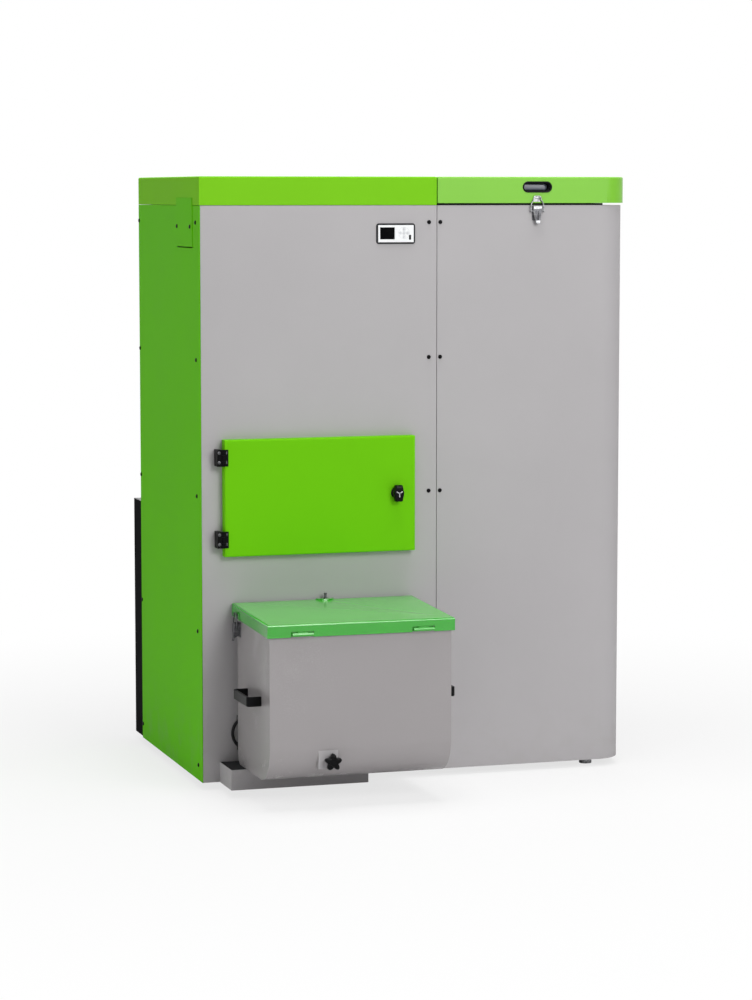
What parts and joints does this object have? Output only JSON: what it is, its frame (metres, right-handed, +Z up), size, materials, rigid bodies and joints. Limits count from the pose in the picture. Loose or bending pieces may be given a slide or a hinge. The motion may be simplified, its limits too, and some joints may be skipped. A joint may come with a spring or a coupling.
{
  "type": "pellet boiler",
  "caption": "Pellet boiler: sheet-metal cabinet with a lidded fuel hopper, hinged fire door, small control display and an ash box that slides off its front.",
  "frame": {"origin": "on the floor under the middle of the whole boiler, ash box and flue spigot included", "axes": "+Z up, -Y out of the front with the door and ash box, +X to the hopper side"},
  "size_m": [1.0464, 1.087, 1.4],
  "materials": {
    "green_paint": "satin powder coat",
    "grey_paint": "satin powder coat with a fine grain",
    "black_paint": "semi-matt black paint",
    "zinc": "bright zinc plate",
    "bare_steel": "mill finish",
    "iron": "as cast",
    "mineral_board": "pressed mineral board",
    "alloy": "pressed sheet",
    "black_plastic": "moulded, fine grain",
    "white_plastic": "smooth",
    "pale_key": "smooth",
    "screen_glass": "polished, unlit",
    "black_rubber": "matt",
    "rope_seal": "woven glass rope"
  },
  "bodies": {
    "cabinet": {"base_frame": "black_paint", "levelling_feet": "zinc", "bin_plinth": "grey_paint", "left_side_panel": "green_paint", "front_panel": "grey_paint", "hopper_wrap_panel": "grey_paint", "rear_panel": "grey_paint", "top_cover": "green_paint", "cover_strap": "green_paint", "panel_screws": "zinc", "rear_fan_cover": "black_paint", "lid_seal": "black_rubber", "lid_hinge_fixed_leaves": "zinc", "lid_latch_base": "zinc", "door_hinge_fixed_leaves": "black_paint", "display_bezel": "black_plastic", "display_plate": "white_plastic", "display_screen": "screen_glass", "bin_lead": "black_rubber", "hopper_funnel": "bare_steel", "feed_tube": "bare_steel", "drive_motors": "black_paint", "boiler_vessel": "bare_steel", "firebox_lining": "mineral_board", "burn_pot": "iron", "ash_screw_tube": "bare_steel", "smoke_fan_casing": "black_paint", "water_stubs": "zinc"},
    "lid": {"hopper_lid": "green_paint", "lid_pull_cup": "black_plastic", "lid_latch_keeper": "zinc", "lid_hinge_moving_leaves": "zinc"},
    "lid_latch_lever": {"lid_latch_lever": "zinc"},
    "lid_latch_bail": {"lid_latch_bail": "zinc"},
    "door": {"fire_door": "green_paint", "door_lining": "mineral_board", "door_gasket": "rope_seal", "door_hinge_moving_leaves": "black_paint"},
    "door_lock": {"door_lock": "black_plastic"},
    "ash_box": {"ash_bin": "grey_paint", "bin_hinge_lower_leaves": "green_paint", "bin_handles": "black_paint", "bin_latch_bases": "zinc", "knob_bracket": "grey_paint"},
    "ash_box_lid": {"bin_lid": "green_paint", "bin_hinge_upper_leaves": "green_paint", "bin_lid_fittings": "zinc"},
    "star_knob": {"star_knob": "black_plastic"},
    "left_latch_lever": {"left_bin_latch_lever": "zinc"},
    "left_latch_bail": {"left_bin_latch_bail": "zinc"},
    "right_latch_lever": {"right_bin_latch_lever": "zinc"},
    "right_latch_bail": {"right_bin_latch_bail": "zinc"},
    "feed_screw": {"feed_screw": "bare_steel"},
    "ash_screw": {"ash_screw": "bare_steel"},
    "smoke_fan": {"smoke_fan_wheel": "alloy"},
    "key_up": {"key_up": "pale_key"},
    "key_down": {"key_down": "pale_key"},
    "key_left": {"key_left": "pale_key"},
    "key_right": {"key_right": "pale_key"},
    "key_ok": {"key_ok": "pale_key"}
  },
  "joints": [
    {"name": "hopper_lid_hinge", "type": "hinge", "parent": "cabinet", "child": "lid", "pos_m": [0.2847, 0.3963, 1.3369], "axis": [-1, 0, 0], "range_deg": [0, 80]},
    {"name": "lid_latch_pivot", "type": "hinge", "parent": "cabinet", "child": "lid_latch_lever", "pos_m": [0.2893, -0.22, 1.3294], "axis": [-1, 0, 0], "range_deg": [0, 140]},
    {"name": "lid_latch_link", "type": "hinge", "parent": "lid_latch_lever", "child": "lid_latch_bail", "pos_m": [0.2893, -0.22, 1.3204], "axis": [-1, 0, 0], "range_deg": [-140, 0]},
    {"name": "fire_door_hinge", "type": "hinge", "parent": "cabinet", "child": "door", "pos_m": [-0.4733, -0.2405, 0.6725], "axis": [0, 0, -1], "range_deg": [0, 115]},
    {"name": "door_lock_turn", "type": "hinge", "parent": "door", "child": "door_lock", "pos_m": [-0.06, -0.2385, 0.6745], "axis": [0, -1, 0], "range_deg": [0, 90]},
    {"name": "ash_box_slide", "type": "slide", "parent": "cabinet", "child": "ash_box", "axis": [0, -1, 0], "range_m": [0, 0.35]},
    {"name": "ash_box_lid_hinge", "type": "hinge", "parent": "ash_box", "child": "ash_box_lid", "pos_m": [-0.2323, -0.5275, 0.3983], "axis": [1, 0, 0], "range_deg": [0, 110]},
    {"name": "star_knob_turn", "type": "hinge", "parent": "ash_box", "child": "star_knob", "pos_m": [-0.3023, -0.5185, 0.112], "axis": [0, -1, 0], "continuous": true},
    {"name": "left_latch_pivot", "type": "hinge", "parent": "ash_box", "child": "left_latch_lever", "pos_m": [-0.4533, -0.2635, 0.38921], "axis": [0, 1, 0], "range_deg": [0, 140]},
    {"name": "left_latch_link", "type": "hinge", "parent": "left_latch_lever", "child": "left_latch_bail", "pos_m": [-0.4533, -0.2635, 0.38021], "axis": [0, 1, 0], "range_deg": [-140, 0]},
    {"name": "right_latch_pivot", "type": "hinge", "parent": "ash_box", "child": "right_latch_lever", "pos_m": [-0.0113, -0.2635, 0.38921], "axis": [0, -1, 0], "range_deg": [0, 140]},
    {"name": "right_latch_link", "type": "hinge", "parent": "right_latch_lever", "child": "right_latch_bail", "pos_m": [-0.0113, -0.2635, 0.38021], "axis": [0, -1, 0], "range_deg": [-140, 0]},
    {"name": "feed_screw_turn", "type": "hinge", "parent": "cabinet", "child": "feed_screw", "pos_m": [0.0807, 0.0215, 0.62], "axis": [1, 0, 0], "continuous": true},
    {"name": "ash_screw_turn", "type": "hinge", "parent": "cabinet", "child": "ash_screw", "pos_m": [-0.23705, -0.0135, 0.3], "axis": [0, 1, 0], "continuous": true},
    {"name": "smoke_fan_turn", "type": "hinge", "parent": "cabinet", "child": "smoke_fan", "pos_m": [-0.3393, 0.4265, 0.5], "axis": [0, 1, 0], "continuous": true},
    {"name": "key_up_press", "type": "slide", "parent": "cabinet", "child": "key_up", "axis": [0, 1, 0], "range_m": [0, 0.0005], "stiffness_N_per_m": 400},
    {"name": "key_down_press", "type": "slide", "parent": "cabinet", "child": "key_down", "axis": [0, 1, 0], "range_m": [0, 0.0005], "stiffness_N_per_m": 400},
    {"name": "key_left_press", "type": "slide", "parent": "cabinet", "child": "key_left", "axis": [0, 1, 0], "range_m": [0, 0.0005], "stiffness_N_per_m": 400},
    {"name": "key_right_press", "type": "slide", "parent": "cabinet", "child": "key_right", "axis": [0, 1, 0], "range_m": [0, 0.0005], "stiffness_N_per_m": 400},
    {"name": "key_ok_press", "type": "slide", "parent": "cabinet", "child": "key_ok", "axis": [0, 1, 0], "range_m": [0, 0.0005], "stiffness_N_per_m": 400}
  ],
  "couplings": [
    {"joint": "lid_latch_link", "follows": "lid_latch_pivot", "ratio": -1},
    {"joint": "left_latch_link", "follows": "left_latch_pivot", "ratio": -1},
    {"joint": "right_latch_link", "follows": "right_latch_pivot", "ratio": -1}
  ]
}
